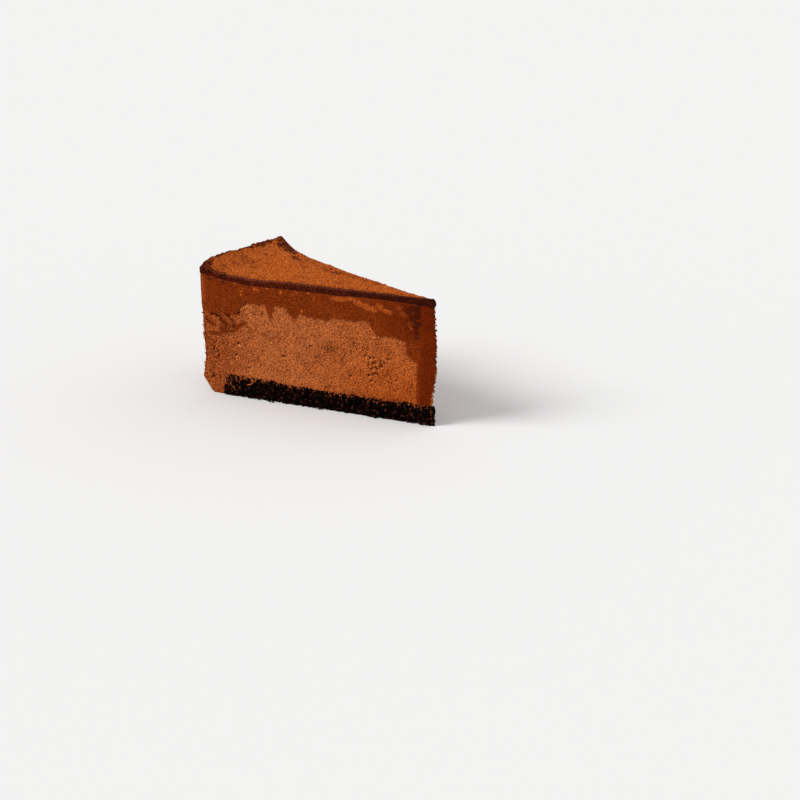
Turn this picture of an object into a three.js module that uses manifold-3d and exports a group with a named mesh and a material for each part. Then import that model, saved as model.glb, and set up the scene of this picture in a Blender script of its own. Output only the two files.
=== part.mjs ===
// A slice of chocolate mousse cake: cookie crust, airy mousse, a sheet of ganache with a raised rim, and cocoa.
// The round cake is turned layer by layer about its centre, and a warm knife then cuts one wedge out of it.
// Millimetres, +Z up. The slice rests on z = 0, its tip points to +X, and its two cut faces look to -Y and +Y.
import * as THREE from "three";
import { mergeVertices } from "three/addons/utils/BufferGeometryUtils.js";
import Module from "manifold-3d";

const wasm = await Module();
wasm.setup();

// The cake: a ring of 23 cm, cut into slices of 27 degrees.
const RING_RADIUS = 115;
const HALF_ANGLE = THREE.MathUtils.degToRad(27 / 2);
const TOP_HEIGHT = 55.3;
const CRUST_HEIGHT = 8.2;
const CRUST_RADIUS = 105.2;
const GANACHE_THICKNESS = { middle: 3.0, edge: 2.65 };
const COCOA_THICKNESS = 0.7;
const HAIRLINE = 0.1; // left between two pieces that touch

// The rim stands above the middle of the top, and was knocked down at the near corner.
const RIM_FOOT_RADIUS = 86;
const RIM_CURVE = 2.3;
const RIM_HEIGHT = [
  [-13.5, 7.2],
  [-11, 6.6],
  [-8, 6.1],
  [-4, 5.2],
  [0, 5.3],
  [6, 5.3],
  [9, 4.9],
  [11.2, 4.0],
  [13.5, 2.6],
];
const RIM_CRAG = 0.7;
const TOP_WAVE = 0.35;

// How far the top bulges or sinks along each cut: [distance from the centre, height].
const TOP_SWELL = {
  near: [
    [70, 0],
    [82, -0.35],
    [90, -0.6],
    [98, -0.35],
    [110, 0],
  ],
  far: [
    [8, 0],
    [18, -0.5],
    [30, -0.5],
    [40, -0.1],
    [60, -0.2],
    [72, 0.2],
    [84, 0.6],
    [96, 0.85],
    [104, 0.2],
    [115, 0],
  ],
};

// The wall as it came out of the ring: [height, radius], with a lip above the rounded foot.
const WALL = [
  [0, 110.4],
  [1.3, 111.9],
  [5.4, 114.9],
  [7.4, 116.2],
  [9.4, 115.7],
  [17, 114.3],
  [26, 114.7],
  [40, 115.0],
  [48, 115.2],
];

// The knife's marks. The tip is a little blunt: [height, how far it stands out or in].
const NOSE_RADIUS = 0.5;
const NOSE_REACH = 12;
const NOSE_OFFSET = [
  [0, -0.6],
  [8, -1.7],
  [14, -0.9],
  [18, -0.2],
  [22, 1.2],
  [26, 1.5],
  [31, 1.2],
  [36, 1.5],
  [41, 0.7],
  [47, 0.5],
  [50, 0],
  [70, 0],
];
const TEAR_DEPTH = { least: 0.25, most: 0.85 };
const SCOOPS = {
  near: [
    { at: 102, height: 34, width: 9, depth: 0.9 },
    { at: 29, height: 23, width: 6, depth: 0.5 },
  ],
  far: [{ at: 48, height: 27, width: 9, depth: 0.6 }],
};
const CRUMB_DEPTH = 1.1;
const SMEAR_THICKNESS = 1.1;

// The smear's lower edge is a level line with drips hanging from it: distance from the centre, half width, drop,
// and power, which is 2 for a pointed drip and 6 for a broad one.
// At the tip it goes down to the crust in two steps: [distance from the centre, height].
const SMEAR_LEVEL = 44;
const SMEAR_TIP = [
  [9.4, 8.2],
  [9.9, 27],
  [14, 29.5],
  [15, 35.5],
  [19, 36.5],
  [21, 44],
];
const DRIPS = {
  near: [
    { at: 106, width: 11.2, drop: 6.6, power: 6 },
    { at: 90, width: 4, drop: 1.5, power: 2 },
    { at: 79.9, width: 1.6, drop: 6.6, power: 2 },
    { at: 67.8, width: 3.4, drop: 4.4, power: 2 },
    { at: 57, width: 6.6, drop: 3.6, power: 6 },
    { at: 42, width: 9, drop: 2.4, power: 6 },
    { at: 29, width: 1.8, drop: 1.1, power: 2 },
    { at: 21.5, width: 9.8, drop: 7.4, power: 6 },
  ],
  far: [
    { at: 112, width: 6, drop: 3.6, power: 6 },
    { at: 96, width: 5, drop: 2.4, power: 6 },
    { at: 74.4, width: 1.9, drop: 6.6, power: 2 },
    { at: 66, width: 8, drop: 3, power: 6 },
    { at: 36, width: 2.6, drop: 7.2, power: 2 },
    { at: 22, width: 9, drop: 7.4, power: 6 },
  ],
};

// Bare margins round the cocoa, from the cut faces and from the rim's edge.
const COCOA_MARGIN = { near: 1.3, far: 0.5, rim: 2.0, waver: 0.6 };
const BARE_CORNERS = [
  { angle: 13.5, radius: 115, reach: 6 },
  { angle: -13.5, radius: 109.5, reach: 6.8 },
];

// Fineness of the surfaces.
const SEGMENTS = 240;
const RINGS = 12;
const RING_CROWDING = 1.6; // above 1, the rings lie closer together towards the rim
const COCOA_STATION_STEP = 2.4;
const CRUMB_STEP = 1.45;
const TEAR_STEP = 2.6;
const SMEAR_STEP = 1.6;
const SMEAR_CROWDING = 1.15; // above 1, the smear's edge is finer towards the tip
const CUT_REACH = 132;
const CUT_FLOOR = -3;
const CUT_CEILING = 72;

// A repeatable number from 0 to 1 for a pair of whole numbers.
function chance(i, j, seed) {
  let h = Math.imul(i, 374761393) + Math.imul(j, 668265263) + Math.imul(seed, 1442695041);
  h = Math.imul(h ^ (h >>> 13), 1274126177);
  h = Math.imul(h ^ (h >>> 15), 668265263);
  return ((h ^ (h >>> 16)) >>> 0) / 4294967296;
}

// The same numbers blended smoothly over a lattice of the given cell size.
function blended(x, y, cell, seed) {
  const i = Math.floor(x / cell);
  const j = Math.floor(y / cell);
  const u = THREE.MathUtils.smoothstep(x / cell - i, 0, 1);
  const v = THREE.MathUtils.smoothstep(y / cell - j, 0, 1);
  const low = THREE.MathUtils.lerp(chance(i, j, seed), chance(i + 1, j, seed), u);
  const high = THREE.MathUtils.lerp(chance(i, j + 1, seed), chance(i + 1, j + 1, seed), u);
  return THREE.MathUtils.lerp(low, high, v);
}

// Straight lines between the points of a list such as [[x, y], ...].
function along(list, x) {
  const next = list.findIndex(([at]) => at >= x);
  if (next === 0) return list[0][1];
  if (next < 0) return list.at(-1)[1];
  const [x0, y0] = list[next - 1];
  const [x1, y1] = list[next];
  return THREE.MathUtils.mapLinear(x, x0, x1, y0, y1);
}

// Angle of a point about the cake's centre, in degrees from the slice's middle, positive on the near side.
function sliceAngle(x, y) {
  return THREE.MathUtils.radToDeg(Math.atan2(-y, -x));
}

// The top of the ganache: flat in the middle, with a slow wave, and rising to the rim.
function topHeight(x, y) {
  const radius = Math.hypot(x, y);
  const angle = sliceAngle(x, y);
  const climb = Math.max(0, (radius - RIM_FOOT_RADIUS) / (RING_RADIUS - RIM_FOOT_RADIUS));
  const edge = THREE.MathUtils.smoothstep(radius, RING_RADIUS - 5, RING_RADIUS);
  const crag = RIM_CRAG * (chance(Math.round(angle / 1.5), 0, 7) - 0.5) * edge;
  const wave = TOP_WAVE * (blended(x, y, 17, 3) - 0.5);
  const nearness = THREE.MathUtils.clamp(angle / (2 * THREE.MathUtils.radToDeg(HALF_ANGLE)) + 0.5, 0, 1);
  const swell = THREE.MathUtils.lerp(along(TOP_SWELL.far, radius), along(TOP_SWELL.near, radius), nearness);
  return TOP_HEIGHT + wave + swell + along(RIM_HEIGHT, angle) * climb ** RIM_CURVE + crag;
}

function ganacheDepth(radius) {
  const { middle, edge } = GANACHE_THICKNESS;
  return THREE.MathUtils.lerp(middle, edge, THREE.MathUtils.smoothstep(radius, 70, 100));
}

// Height of the smear's lower edge on a cut face.
function smearHeight(distance, drips) {
  const hung = drips.reduce((sum, { at, width, drop, power }) => {
    return sum + drop * Math.exp(-(Math.abs((distance - at) / width) ** power));
  }, 0);
  return Math.min(SMEAR_LEVEL - hung, along(SMEAR_TIP, distance));
}

// Moves each vertex of a geometry to where move(point) puts it.
function reshape(geometry, move) {
  const position = geometry.getAttribute("position");
  const point = new THREE.Vector3();
  for (let i = 0; i < position.count; i++) {
    point.fromBufferAttribute(position, i);
    move(point);
    position.setXYZ(i, point.x, point.y, point.z);
  }
  return geometry;
}

// A closed geometry as a solid that can be cut and joined.
function solid(geometry) {
  const bare = new THREE.BufferGeometry().setAttribute("position", geometry.getAttribute("position"));
  bare.setIndex(geometry.index);
  const merged = mergeVertices(bare, 1e-3);
  const corners = merged.index.array;
  const kept = [];
  for (let i = 0; i < corners.length; i += 3) {
    const [a, b, c] = corners.slice(i, i + 3);
    if (a !== b && b !== c && c !== a) kept.push(a, b, c);
  }
  return new wasm.Manifold(
    new wasm.Mesh({
      numProp: 3,
      vertProperties: merged.getAttribute("position").array,
      triVerts: new Uint32Array(kept),
    }),
  );
}

// A full round of the cake, turned about Z from a [radius, height] profile that starts and ends on the axis.
// A point with no height lies on a surface, given as a function of x and y.
function turned(profile) {
  const lifts = profile.map(([, height]) => (typeof height === "function" ? height : () => height));
  const points = profile.map(([radius], i) => new THREE.Vector2(radius, i));
  const geometry = new THREE.LatheGeometry(points, SEGMENTS).rotateX(Math.PI / 2);
  return solid(
    reshape(geometry, (point) => {
      point.z = lifts[Math.round(point.z)](point.x, point.y);
    }),
  );
}

const stepped = (radii, surface) => radii.map((radius) => [radius, surface]);

// Radii from the axis to just inside the rim, closer together as the top rises.
const STATIONS = Array.from({ length: RINGS + 1 }, (_, i) => {
  return (RING_RADIUS - 2) * (1 - (1 - i / RINGS) ** RING_CROWDING);
});

const SIDES = {
  near: {
    run: new THREE.Vector3(-Math.cos(HALF_ANGLE), -Math.sin(HALF_ANGLE), 0),
    out: new THREE.Vector3(Math.sin(HALF_ANGLE), -Math.cos(HALF_ANGLE), 0),
    drips: DRIPS.near,
    scoops: SCOOPS.near,
    seed: 11,
  },
  far: {
    run: new THREE.Vector3(-Math.cos(HALF_ANGLE), Math.sin(HALF_ANGLE), 0),
    out: new THREE.Vector3(Math.sin(HALF_ANGLE), Math.cos(HALF_ANGLE), 0),
    drips: DRIPS.far,
    scoops: SCOOPS.far,
    seed: 29,
  },
};

// The wedge between the two cuts. relief(distance from the centre, height, side) says how deep a cut face lies.
function wedge({ step, lift, relief, blunt = true }) {
  const start = NOSE_RADIUS / Math.tan(HALF_ANGLE);
  const columns = Math.ceil((CUT_REACH - start) / step);
  const distances = Array.from({ length: columns + 1 }, (_, i) => start + ((CUT_REACH - start) * i) / columns);
  const shape = new THREE.Shape();
  const place = (side, distance) => side.run.clone().multiplyScalar(distance);
  const far = distances.map((distance) => place(SIDES.far, distance));
  const near = distances.map((distance) => place(SIDES.near, distance));
  shape.moveTo(near.at(-1).x, near.at(-1).y);
  near.slice(0, -1).reverse().forEach((p) => shape.lineTo(p.x, p.y));
  const turn = Math.PI / 2 - HALF_ANGLE;
  shape.absarc(-NOSE_RADIUS / Math.sin(HALF_ANGLE), 0, NOSE_RADIUS, -turn, turn, false);
  far.slice(1).forEach((p) => shape.lineTo(p.x, p.y));
  const geometry = new THREE.ExtrudeGeometry(shape, {
    depth: CUT_CEILING - CUT_FLOOR,
    steps: Math.round((CUT_CEILING - CUT_FLOOR) / lift),
    bevelEnabled: false,
    curveSegments: 5,
  }).translate(0, 0, CUT_FLOOR);
  const touching = 1e-3;
  reshape(geometry, (point) => {
    const height = point.z;
    const flat = point.clone().setZ(0);
    const distance = flat.length();
    const side = Object.values(SIDES).find(({ out }) => Math.abs(flat.dot(out)) < touching);
    if (side) point.addScaledVector(side.out, -relief(distance, height, side));
    if (blunt) point.x += along(NOSE_OFFSET, height) * Math.max(0, 1 - distance / NOSE_REACH);
  });
  return solid(geometry);
}

// What the smear covers on one cut face, as a plate through the face.
function smearPlate(name) {
  const side = SIDES[name];
  const foot = SMEAR_TIP[0][0];
  const steps = Math.round((RING_RADIUS - foot) / SMEAR_STEP);
  const edge = Array.from({ length: steps + 1 }, (_, i) => {
    const distance = THREE.MathUtils.lerp(foot, RING_RADIUS, (i / steps) ** SMEAR_CROWDING);
    return new THREE.Vector2(distance, smearHeight(distance, side.drips));
  });
  const shape = new THREE.Shape([
    new THREE.Vector2(-12, CRUST_HEIGHT - 4),
    new THREE.Vector2(foot, CRUST_HEIGHT - 4),
    ...edge,
    new THREE.Vector2(CUT_REACH, edge.at(-1).y),
    new THREE.Vector2(CUT_REACH, CUT_CEILING),
    new THREE.Vector2(-12, CUT_CEILING),
  ]);
  const up = new THREE.Vector3(0, 0, 1);
  const across = new THREE.Vector3().crossVectors(side.run, up);
  const inward = across.dot(side.out) < 0;
  const plate = (thickness) => {
    const geometry = new THREE.ExtrudeGeometry(shape, { depth: thickness + 3, bevelEnabled: false });
    geometry.translate(0, 0, inward ? -3 : -thickness);
    return solid(geometry.applyMatrix4(new THREE.Matrix4().makeBasis(side.run, up, across)));
  };
  return { skin: plate(SMEAR_THICKNESS), pocket: plate(SMEAR_THICKNESS + HAIRLINE) };
}

// The dusted area seen from above: a margin inside the cuts and the rim, less the bare corners.
function dustedArea() {
  const { near, far, rim, waver } = COCOA_MARGIN;
  const shape = new THREE.Shape();
  const points = [];
  const first = (1 + (near + far) * Math.cos(HALF_ANGLE)) / (2 * Math.sin(HALF_ANGLE));
  const last = RING_RADIUS - rim - 3;
  const edgeSteps = 34;
  const rimSteps = 12;
  const edgePoint = (side, least, i) => {
    const distance = THREE.MathUtils.lerp(first, last, i / edgeSteps);
    const margin = least + waver * (chance(i, 1, side.seed) - 0.5);
    return side.run.clone().multiplyScalar(distance).addScaledVector(side.out, -margin);
  };
  for (let i = edgeSteps; i >= 0; i--) points.push(edgePoint(SIDES.near, near, i));
  for (let i = 0; i <= edgeSteps; i++) points.push(edgePoint(SIDES.far, far, i));
  const reach = THREE.MathUtils.radToDeg(HALF_ANGLE) - 1.6;
  for (let i = 0; i <= rimSteps; i++) {
    const angle = THREE.MathUtils.degToRad(THREE.MathUtils.lerp(-reach, reach, i / rimSteps));
    const radius = RING_RADIUS - rim - waver * 2 * chance(i, 2, 5);
    points.push(new THREE.Vector3(-Math.cos(angle) * radius, -Math.sin(angle) * radius, 0));
  }
  shape.setFromPoints(points.map(({ x, y }) => new THREE.Vector2(x, y)));
  const depth = CUT_CEILING - TOP_HEIGHT + 10;
  const area = solid(
    new THREE.ExtrudeGeometry(shape, { depth, bevelEnabled: false }).translate(0, 0, TOP_HEIGHT - 5),
  );
  return BARE_CORNERS.reduce((left, { angle, radius, reach: bare }) => {
    const at = THREE.MathUtils.degToRad(angle);
    const post = new THREE.CylinderGeometry(bare, bare, CUT_CEILING, 14).rotateX(Math.PI / 2);
    post.translate(-Math.cos(at) * radius, -Math.sin(at) * radius, TOP_HEIGHT);
    return left.subtract(solid(post));
  }, area);
}

// The layers of the round cake.
function crustRound() {
  return turned([
    [0, 0],
    [CRUST_RADIUS * 0.6, 0],
    [CRUST_RADIUS, 0],
    [CRUST_RADIUS - 1, CRUST_HEIGHT * 0.6],
    [CRUST_RADIUS - 2.2, CRUST_HEIGHT + 1.1],
    [CRUST_RADIUS * 0.8, CRUST_HEIGHT + 0.7],
    [CRUST_RADIUS * 0.6, CRUST_HEIGHT],
    [0, CRUST_HEIGHT],
  ]);
}

function mousseRound() {
  const top = (x, y) => topHeight(x, y) - ganacheDepth(Math.hypot(x, y)) - HAIRLINE;
  return turned([
    [0, CRUST_HEIGHT + HAIRLINE],
    [CRUST_RADIUS * 0.6, CRUST_HEIGHT + HAIRLINE],
    [CRUST_RADIUS * 0.8, CRUST_HEIGHT + 0.7 + HAIRLINE],
    [CRUST_RADIUS - 2.2 + HAIRLINE, CRUST_HEIGHT + 1.1 + HAIRLINE],
    [CRUST_RADIUS - 1 + HAIRLINE, CRUST_HEIGHT * 0.6],
    [CRUST_RADIUS + HAIRLINE, 0],
    ...WALL.map(([height, radius]) => [radius, height]),
    [RING_RADIUS, top],
    ...stepped(STATIONS, top).reverse(),
  ]);
}

function ganacheRound() {
  const under = (x, y) => topHeight(x, y) - ganacheDepth(Math.hypot(x, y));
  return turned([
    ...stepped(STATIONS, under),
    [RING_RADIUS, under],
    [RING_RADIUS + 0.2, (x, y) => topHeight(x, y) - 0.9],
    [RING_RADIUS - 0.5, topHeight],
    ...stepped(STATIONS, topHeight).reverse(),
  ]);
}

function cocoaRound() {
  const under = (x, y) => topHeight(x, y) + HAIRLINE;
  const grains = (x, y) => {
    const grain = chance(Math.round(x * 10), Math.round(y * 10), 17);
    return under(x, y) + COCOA_THICKNESS * (0.55 + 0.7 * grain);
  };
  const last = STATIONS.at(-1);
  const count = Math.round(last / COCOA_STATION_STEP);
  const fine = Array.from({ length: count + 1 }, (_, i) => (last * i) / count);
  return turned([...stepped(STATIONS, under), ...stepped(fine, grains).reverse()]);
}

// How deep each kind of cut face lies behind the plane of the knife.
const smooth = () => 0;

function torn(distance, height, { scoops, seed }) {
  const { least, most } = TEAR_DEPTH;
  const broad = blended(distance, height, 9, seed);
  const fine = chance(Math.round(distance / TEAR_STEP), Math.round(height / TEAR_STEP), seed + 1);
  const scooped = scoops.reduce((sum, { at, height: level, width, depth }) => {
    const away = ((distance - at) / width) ** 2 + ((height - level) / (width * 0.7)) ** 2;
    return sum + depth * Math.exp(-away);
  }, 0);
  return THREE.MathUtils.lerp(least, most, 0.55 * broad + 0.45 * fine) + scooped * (0.3 + fine);
}

function crumbly(distance, height, { seed }) {
  const crumb = chance(Math.round(distance / CRUMB_STEP), Math.round(height / CRUMB_STEP), seed + 2);
  return CRUMB_DEPTH * (crumb - 0.3);
}

const slice = new THREE.Group();
slice.name = "chocolate_mousse_cake_slice";

function add(name, piece, colour, roughness) {
  const { numProp, vertProperties, triVerts } = piece.getMesh();
  const geometry = new THREE.BufferGeometry();
  geometry.setAttribute("position", new THREE.Float32BufferAttribute(vertProperties, numProp));
  geometry.setIndex(new THREE.BufferAttribute(triVerts, 1));
  const facets = geometry.toNonIndexed();
  facets.computeVertexNormals();
  const mesh = new THREE.Mesh(facets, new THREE.MeshStandardMaterial({ color: colour, roughness, metalness: 0 }));
  mesh.name = name;
  slice.add(mesh);
}

const smoothCut = wedge({ step: 4.4, lift: 4.7, relief: smooth });
const tornCut = wedge({ step: TEAR_STEP, lift: TEAR_STEP, relief: torn });
const crumbCut = wedge({ step: CRUMB_STEP, lift: CRUMB_STEP, relief: crumbly, blunt: false });
const straightCut = wedge({ step: 40, lift: 40, relief: smooth, blunt: false });
const smears = ["near", "far"].map(smearPlate);
const smearSkin = smears[0].skin.add(smears[1].skin);
const smearPocket = smears[0].pocket.add(smears[1].pocket);
const mousse = mousseRound();

add("cookie_crust", crustRound().intersect(crumbCut), 0x170a07, 0.9);
add("mousse", mousse.intersect(tornCut).subtract(smearPocket), 0xa25328, 0.75);
add("smeared_mousse", mousse.intersect(smoothCut).intersect(smearSkin), 0x752c0f, 0.5);
add("ganache", ganacheRound().intersect(straightCut), 0x3c150a, 0.4);
add("cocoa_dusting", cocoaRound().intersect(dustedArea()), 0xa7501e, 1);

// The origin is under the middle of the slice's length.
slice.position.x = -new THREE.Box3().setFromObject(slice).getCenter(new THREE.Vector3()).x;

export default slice;
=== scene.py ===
import math
from functools import reduce

import bpy
import numpy as np
from mathutils import Matrix, Vector


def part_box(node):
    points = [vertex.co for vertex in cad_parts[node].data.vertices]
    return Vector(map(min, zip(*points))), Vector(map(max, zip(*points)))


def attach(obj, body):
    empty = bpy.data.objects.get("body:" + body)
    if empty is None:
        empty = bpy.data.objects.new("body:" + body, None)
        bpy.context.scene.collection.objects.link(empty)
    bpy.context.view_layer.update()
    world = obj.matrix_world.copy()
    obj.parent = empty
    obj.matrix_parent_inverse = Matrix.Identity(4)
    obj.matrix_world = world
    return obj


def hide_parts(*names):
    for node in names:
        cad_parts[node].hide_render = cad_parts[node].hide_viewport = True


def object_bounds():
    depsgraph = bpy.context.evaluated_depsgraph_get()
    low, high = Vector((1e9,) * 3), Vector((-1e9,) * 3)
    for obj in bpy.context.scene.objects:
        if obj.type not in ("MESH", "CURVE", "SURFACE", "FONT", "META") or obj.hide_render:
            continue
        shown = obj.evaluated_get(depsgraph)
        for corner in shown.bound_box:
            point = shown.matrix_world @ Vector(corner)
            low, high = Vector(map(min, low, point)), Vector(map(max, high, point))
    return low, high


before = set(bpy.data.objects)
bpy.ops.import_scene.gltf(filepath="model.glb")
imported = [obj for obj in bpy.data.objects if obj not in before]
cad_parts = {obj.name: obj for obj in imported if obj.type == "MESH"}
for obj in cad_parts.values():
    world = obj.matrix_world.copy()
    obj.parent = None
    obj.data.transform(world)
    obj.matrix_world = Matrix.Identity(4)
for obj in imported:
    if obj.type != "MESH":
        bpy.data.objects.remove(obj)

cad_box = [list(corner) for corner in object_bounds()]


# The cookie crust
# Dark cookies, ground with butter and pressed into the bottom of the ring: a nearly black sheet 8 to 9 mm
# thick. It stops 10 mm short of the ring's wall. The knife broke crumbs out of both of its cut faces.
MM = 0.001
SLICE_ANGLE = 27
HALF_ANGLE = math.radians(SLICE_ANGLE / 2)
NOSE_RADIUS = 0.5
# The cake's centre, where the two cuts would meet, in mm along X. Distances are measured from it, in mm.
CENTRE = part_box("ganache")[1].x / MM + NOSE_RADIUS / math.sin(HALF_ANGLE) - NOSE_RADIUS
CRUST_TIP = 1.2
CRUST_LENGTH = 103
CRUST_HEIGHT = 9
# The breadth of the crust's faces, and how many columns of points lie from cut to cut.
CRUST_FACE = 0.36
CRUST_COLUMNS = 25
# The crust's end as height and distance, and its top as distance and height.
CRUST_END = [[0, 105.0], [5, 104.0], [9.2, 102.7], [12, 102.7]]
CRUST_TOP = [[0, 8.15], [63, 8.15], [84, 8.85], [103, 9.2]]
# Waves are given as height, length and seed.
CRUST_WAVES = [(0.5, 1.3, 4), (0.3, 4.5, 5)]
CHIP_WAVES = [(1, 2.1, 6), (0.6, 0.8, 7)]
CHIP_DEPTH = 0.9
CRUST_RELIEF = {"Depth": 1.0 * MM}
CRUST_BROWNS = {
    "gap": (0.001, 0.0002, 0.0002),
    "dark": (0.013, 0.0032, 0.002),
    "brown": (0.08, 0.0235, 0.0145),
    "light": (0.17, 0.052, 0.029),
}
CRUMB_SIZE = 1.3
RIPPLE_TABLE = 64
# A lump is a ball of a few faces, turned by up to this angle about each axis, with jags of this size.
LUMP_FACES = 1
LUMP_TURN = 6.28
LUMP_SEED = 7
JAG_SIZE = 0.5
# The power that keeps most of the sprinkled lumps near their least size.
MOSTLY_SMALL = 2.5


def eased(value):
    """0 below 0, 1 above 1, and smooth between."""
    value = np.clip(value, 0, 1)
    return value * value * (3 - 2 * value)


def ripple(x, y, cell, seed):
    """Smooth random waves from -1 to 1, one cell long."""
    table = np.random.default_rng(seed).uniform(-1, 1, (RIPPLE_TABLE, RIPPLE_TABLE))
    i, j = np.floor(x / cell).astype(int), np.floor(y / cell).astype(int)
    s, t = eased(x / cell - i), eased(y / cell - j)
    i, right = i % RIPPLE_TABLE, (i + 1) % RIPPLE_TABLE
    j, above = j % RIPPLE_TABLE, (j + 1) % RIPPLE_TABLE
    low = table[i, j] * (1 - s) + table[right, j] * s
    high = table[i, above] * (1 - s) + table[right, above] * s
    return low * (1 - t) + high * t


def waves(x, y, parts, base=0):
    """A base with ripples added, each given as height, length and seed."""
    return sum((height * ripple(x, y, length, seed) for height, length, seed in parts), base)


def along(sizes, at):
    sizes = np.array(sizes, float)
    return np.interp(at, sizes[:, 0], sizes[:, 1])


def steps(length, size):
    return np.linspace(0, 1, round(length / size) + 1)


def plan(reach, turn):
    """Place in plan at a distance from the centre, turned from -1 at the near cut to 1 at the far one."""
    return CENTRE - reach * np.cos(turn * HALF_ANGLE), reach * np.sin(turn * HALF_ANGLE)


def outward(turn, cut, wall):
    """Level direction out of the cuts, the nose and the wall. It is zero on the top and the bottom."""
    facing = turn * (math.pi / 2 - HALF_ANGLE)
    behind = turn * HALF_ANGLE
    x = np.cos(facing) * cut - np.cos(behind) * wall
    y = np.sin(facing) * cut + np.sin(behind) * wall
    size = np.maximum(np.hypot(x, y), 1e-9)
    return np.stack([x / size, y / size, 0 * x], -1)


def on_cut(turn, distance, height, out):
    """Place on a cut, and so far out of it in mm."""
    x, y = plan(distance, turn)
    away = outward(turn, 1.0, 0.0)
    return x + away[0] * out, y + away[1] * out, height


def new_piece(name, data):
    piece = bpy.data.objects.new(name, data)
    bpy.context.scene.collection.objects.link(piece)
    return piece


def store(mesh, label, values):
    values = np.asarray(values, np.float32)
    kind, field = ("FLOAT_VECTOR", "vector") if values.ndim == 2 else ("FLOAT", "value")
    mesh.attributes.new(label, kind, "POINT").data.foreach_set(field, values.ravel())


def block(name, us, vs, ws, place):
    """The closed skin of a block of points: place(u, v, w) gives x, y, z in mm and any named values."""
    shape = (len(us), len(vs), len(ws))
    skin = np.zeros(shape, bool)
    skin[[0, -1]] = True
    skin[:, [0, -1]] = True
    skin[:, :, [0, -1]] = True
    number = np.full(shape, -1)
    number[skin] = np.arange(skin.sum())
    u, v, w = (grid[skin] for grid in np.meshgrid(us, vs, ws, indexing="ij"))
    x, y, z, values = place(u, v, w)
    quads = []
    for axis in range(3):
        for end in (0, -1):
            sheet = number.take(end, axis=axis)
            corners = [sheet[:-1, :-1], sheet[1:, :-1], sheet[1:, 1:], sheet[:-1, 1:]]
            if (end == 0) == (axis != 1):
                corners.reverse()
            quads.append(np.stack(corners, -1).reshape(-1, 4))
    mesh = bpy.data.meshes.new(name)
    points = np.stack([x, y, z], -1) * MM
    mesh.from_pydata(points.tolist(), [], np.concatenate(quads)[:, ::-1].tolist())
    mesh.shade_smooth()
    for label, numbers in values.items():
        store(mesh, label, numbers)
    return new_piece(name, mesh)


def wire(tree, kind, feeds=(), **settings):
    """One node, with its settings, and its inputs set or linked."""
    node = tree.nodes.new(kind)
    for setting, value in settings.items():
        setattr(node, setting, value)
    for socket, value in dict(feeds).items():
        if isinstance(value, bpy.types.NodeSocket):
            tree.links.new(value, node.inputs[socket])
        else:
            node.inputs[socket].default_value = value
    return node


def math_node(tree, operation, *terms):
    return wire(tree, "ShaderNodeMath", enumerate(terms), operation=operation).outputs[0]


def plus(tree, *terms):
    return reduce(lambda total, term: math_node(tree, "ADD", total, term), terms)


def times(tree, *terms):
    return reduce(lambda product, term: math_node(tree, "MULTIPLY", product, term), terms)


def shifted(tree, value, low, high, to_low=0.0, to_high=1.0):
    feeds = {0: value, 1: low, 2: high, 3: to_low, 4: to_high}
    return wire(tree, "ShaderNodeMapRange", feeds, interpolation_type="SMOOTHSTEP").outputs[0]


def noise(tree, place, size, strength=1, detail=2, roughness=0.5):
    """Smooth noise round 0, within half its strength, with lumps of the given size in mm."""
    feeds = {"Vector": place, "Scale": 1 / (size * MM), "Detail": detail, "Roughness": roughness}
    level = plus(tree, wire(tree, "ShaderNodeTexNoise", feeds).outputs[0], -0.5)
    return level if strength == 1 else times(tree, level, strength)


def cells(tree, place, size, smooth=0):
    """Distance to the middle of the nearest cell, with cells of a size in mm, and the cell's own number."""
    feeds = {"Vector": place, "Scale": 1 / (size * MM)}
    node = wire(tree, "ShaderNodeTexVoronoi", feeds, feature="SMOOTH_F1" if smooth else "F1")
    if smooth:
        node.inputs["Smoothness"].default_value = smooth
    return node.outputs["Distance"], node.outputs["Color"]


def new_tree(name, sizes):
    """A geometry tree with named sizes, and its input sockets."""
    tree = bpy.data.node_groups.new(name, "GeometryNodeTree")
    tree.interface.new_socket("Geometry", in_out="INPUT", socket_type="NodeSocketGeometry")
    tree.interface.new_socket("Geometry", in_out="OUTPUT", socket_type="NodeSocketGeometry")
    for label, value in sizes.items():
        kind = "NodeSocketInt" if isinstance(value, int) else "NodeSocketFloat"
        tree.interface.new_socket(label, in_out="INPUT", socket_type=kind).default_value = value
    return tree, tree.nodes.new("NodeGroupInput").outputs


def value_of(tree, label, kind="FLOAT"):
    node = wire(tree, "GeometryNodeInputNamedAttribute", {"Name": label}, data_type=kind)
    return node.outputs["Attribute"]


def keep_value(tree, geometry, label, value):
    feeds = {"Geometry": geometry, "Name": label, "Value": value}
    kind = "GeometryNodeStoreNamedAttribute"
    return wire(tree, kind, feeds, data_type="FLOAT", domain="POINT").outputs[0]


def here(tree):
    return tree.nodes.new("GeometryNodeInputPosition").outputs[0]


def push(tree, geometry, height, direction=None):
    """Moves the surface by a height in metres, along its normals or another direction."""
    direction = direction or tree.nodes.new("GeometryNodeInputNormal").outputs[0]
    scaled = wire(tree, "ShaderNodeVectorMath", {0: direction, "Scale": height}, operation="SCALE")
    feeds = {"Geometry": geometry, "Offset": scaled.outputs[0]}
    return wire(tree, "GeometryNodeSetPosition", feeds).outputs[0]


def push_away(tree, geometry, height):
    return push(tree, geometry, height, value_of(tree, "away", "FLOAT_VECTOR"))


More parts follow.
